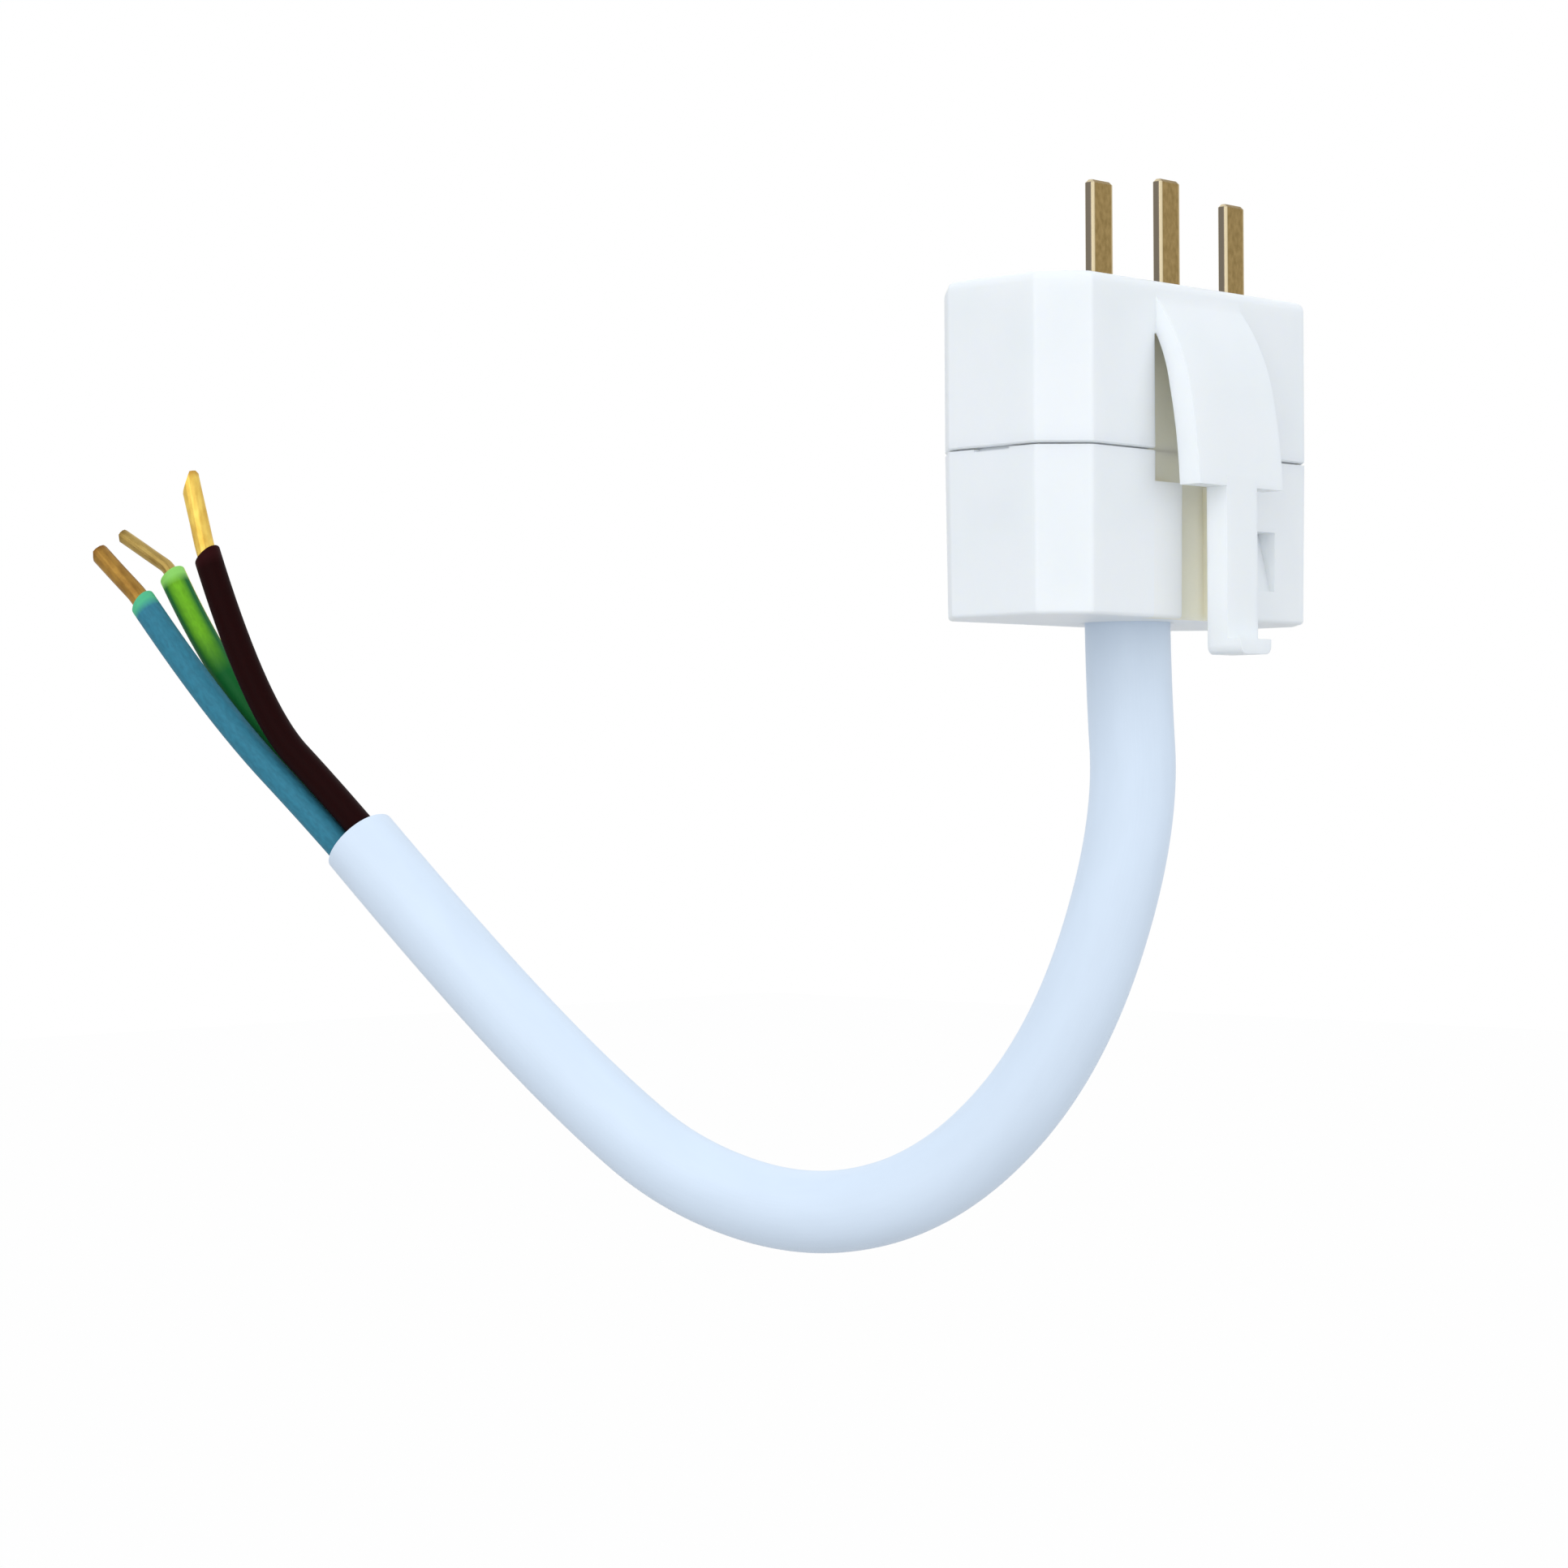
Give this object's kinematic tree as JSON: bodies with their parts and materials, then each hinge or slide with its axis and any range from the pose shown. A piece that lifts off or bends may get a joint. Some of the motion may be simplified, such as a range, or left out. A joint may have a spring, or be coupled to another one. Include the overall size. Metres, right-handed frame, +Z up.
{
  "type": "ceiling light plug",
  "caption": "White ceiling light plug with flat brass blades in a row, a latch tongue on the front, and a short round cable with stripped coloured cores.",
  "frame": {"origin": "root of the middle blade, on the face that meets the ceiling socket", "axes": "+Z up along the blades, X along their row, -Y out of the latch face, +Y the way the cable goes"},
  "size_m": [0.0587, 0.1297, 0.1029],
  "materials": {
    "housing": "cool white moulded plastic with a satin gloss",
    "blade": "brown-gold brass, lightly worn, bright at the edges",
    "terminal": "turned brass",
    "screw": "zinc-plated steel",
    "clamp": "white moulded plastic",
    "sheath": "bluish white soft PVC, satin",
    "core_brown": "very dark brown PVC",
    "core_blue": "blue PVC",
    "core_green_yellow": "green PVC with a yellow stripe",
    "copper": "bare copper wire ends, twisted and pressed"
  },
  "bodies": {
    "root": {"pin_side_shell": "housing", "cable_side_cover": "housing", "live_blade": "blade", "earth_blade": "blade", "neutral_blade": "blade", "live_terminal": "terminal", "earth_terminal": "terminal", "neutral_terminal": "terminal", "live_terminal_screw": "screw", "earth_terminal_screw": "screw", "neutral_terminal_screw": "screw", "clamp_screws": "screw", "cord_clamp_bar": "clamp", "cable_sheath": "sheath", "brown_core": "core_brown", "blue_core": "core_blue", "green_yellow_core": "core_green_yellow", "live_conductor": "copper", "neutral_conductor": "copper", "earth_conductor": "copper"}
  },
  "joints": []
}
